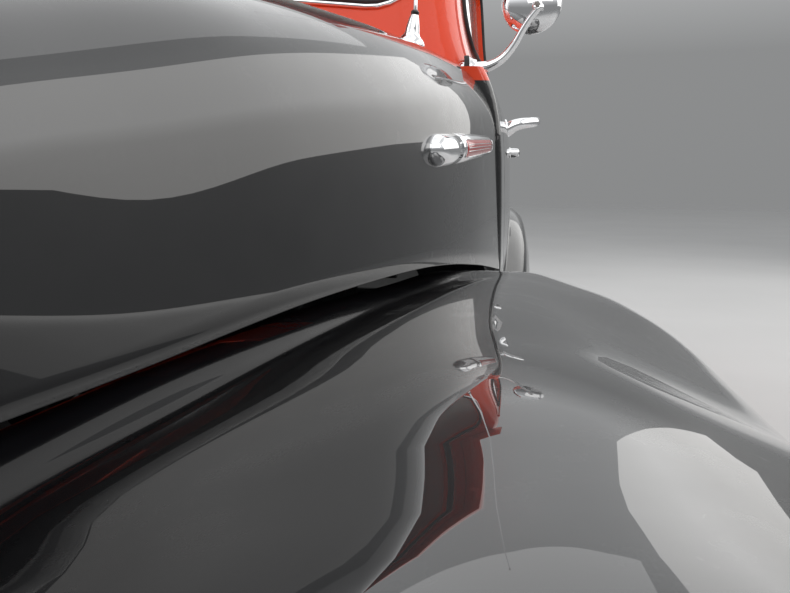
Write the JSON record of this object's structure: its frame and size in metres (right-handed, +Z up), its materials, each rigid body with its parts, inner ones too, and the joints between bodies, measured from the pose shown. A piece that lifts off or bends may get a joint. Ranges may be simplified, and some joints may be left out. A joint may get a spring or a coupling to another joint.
{
  "type": "panel van",
  "caption": "Round-bodied panel van with a vee windscreen, opening hood, cab doors and twin rear doors, steered front wheels and rolling road wheels.",
  "frame": {"origin": "on the floor, at the middle of the overall length and width", "axes": "+Z up, -Y towards the front of the van, +X towards its left-hand (driver's) side"},
  "size_m": [1.9684, 5.0453, 1.9894],
  "materials": {
    "black_paint": "gloss black enamel",
    "red_paint": "gloss red-orange enamel",
    "chassis_black": "satin black",
    "chrome": "polished chrome",
    "glass": "clear glass",
    "lamp_glass": "clear lamp glass",
    "red_lens": "red lens",
    "steel": "bare steel",
    "iron": "painted engine iron",
    "tyre": "black tyre rubber",
    "seat_vinyl": "brown vinyl",
    "black_plastic": "black bakelite"
  },
  "bodies": {
    "body": {"chassis_frame": "chassis_black", "front_axle": "chassis_black", "rear_axle": "chassis_black", "engine": "iron", "exhaust": "steel", "fuel_tank": "chassis_black", "floor": "chassis_black", "body_sides": "black_paint", "upper_body": "red_paint", "windshield_glass": "glass", "front_fenders": "black_paint", "rear_fenders": "black_paint", "running_boards": "black_paint", "grille": "black_paint", "radiator": "chassis_black", "headlamps": "chrome", "lamp_lenses": "lamp_glass", "tail_lamps": "red_lens", "front_bumper": "chrome", "rear_bumper": "chrome", "sun_visor": "red_paint", "seat_base": "chassis_black", "seat_cushion": "seat_vinyl", "seat_back": "seat_vinyl", "dashboard": "red_paint", "steering_column": "chassis_black", "torque_tube": "chassis_black", "mirrors": "chrome", "antenna": "chrome", "wipers": "chrome"},
    "hood": {"hood": "black_paint", "hood_trim": "chrome"},
    "steering_wheel": {"steering_wheel": "black_plastic"},
    "tie_rod": {"tie_rod": "chassis_black"},
    "door_left": {"door_left": "black_paint", "door_glass_left": "glass", "door_handle_left": "chrome"},
    "rear_door_left": {"rear_door_left": "black_paint", "rear_door_glass_left": "glass"},
    "knuckle_left": {"knuckle_left": "chassis_black"},
    "road_wheel_front_left": {"tyre_front_left": "tyre", "wheel_front_left": "red_paint"},
    "road_wheel_rear_left": {"tyre_rear_left": "tyre", "wheel_rear_left": "red_paint"},
    "door_right": {"door_right": "black_paint", "door_glass_right": "glass", "door_handle_right": "chrome"},
    "rear_door_right": {"rear_door_right": "black_paint", "rear_door_glass_right": "glass"},
    "knuckle_right": {"knuckle_right": "chassis_black"},
    "road_wheel_front_right": {"tyre_front_right": "tyre", "wheel_front_right": "red_paint"},
    "road_wheel_rear_right": {"tyre_rear_right": "tyre", "wheel_rear_right": "red_paint"}
  },
  "joints": [
    {"name": "hood_hinge", "type": "hinge", "parent": "body", "child": "hood", "pos_m": [0, -0.933, 1.416], "axis": [-1, 0, 0], "range_deg": [0, 45]},
    {"name": "steering", "type": "hinge", "parent": "body", "child": "steering_wheel", "pos_m": [0.34, -0.673, 1.215], "axis": [0, 0.6947, 0.7193], "range_deg": [-540, 540]},
    {"name": "door_left_hinge", "type": "hinge", "parent": "body", "child": "door_left", "pos_m": [0.755, -0.908, 1], "axis": [0, 0, -1], "range_deg": [0, 62]},
    {"name": "rear_door_left_hinge", "type": "hinge", "parent": "body", "child": "rear_door_left", "pos_m": [0.65, 2.427, 1], "axis": [0, 0, -1], "range_deg": [0, 95]},
    {"name": "knuckle_left_pivot", "type": "hinge", "parent": "body", "child": "knuckle_left", "pos_m": [0.64, -1.733, 0.37], "axis": [0, 0, 1], "range_deg": [-30, 30]},
    {"name": "door_right_hinge", "type": "hinge", "parent": "body", "child": "door_right", "pos_m": [-0.755, -0.908, 1], "axis": [0, 0, 1], "range_deg": [0, 62]},
    {"name": "rear_door_right_hinge", "type": "hinge", "parent": "body", "child": "rear_door_right", "pos_m": [-0.65, 2.427, 1], "axis": [0, 0, 1], "range_deg": [0, 95]},
    {"name": "knuckle_right_pivot", "type": "hinge", "parent": "body", "child": "knuckle_right", "pos_m": [-0.64, -1.733, 0.37], "axis": [0, 0, 1], "range_deg": [-30, 30]},
    {"name": "tie_rod_pivot", "type": "hinge", "parent": "knuckle_left", "child": "tie_rod", "pos_m": [0.64, -1.583, 0.287], "axis": [0, 0, 1], "range_deg": [-30, 30]},
    {"name": "front_wheel_left_spin", "type": "hinge", "parent": "knuckle_left", "child": "road_wheel_front_left", "pos_m": [0.735, -1.733, 0.37], "axis": [1, 0, 0], "continuous": true},
    {"name": "rear_wheel_left_spin", "type": "hinge", "parent": "body", "child": "road_wheel_rear_left", "pos_m": [0.775, 1.213, 0.37], "axis": [1, 0, 0], "continuous": true},
    {"name": "front_wheel_right_spin", "type": "hinge", "parent": "knuckle_right", "child": "road_wheel_front_right", "pos_m": [-0.735, -1.733, 0.37], "axis": [1, 0, 0], "continuous": true},
    {"name": "rear_wheel_right_spin", "type": "hinge", "parent": "body", "child": "road_wheel_rear_right", "pos_m": [-0.775, 1.213, 0.37], "axis": [1, 0, 0], "continuous": true}
  ],
  "couplings": [
    {"joint": "knuckle_left_pivot", "follows": "steering", "ratio": 0.0555},
    {"joint": "knuckle_right_pivot", "follows": "steering", "ratio": 0.0555},
    {"joint": "tie_rod_pivot", "follows": "steering", "ratio": -0.0555}
  ]
}
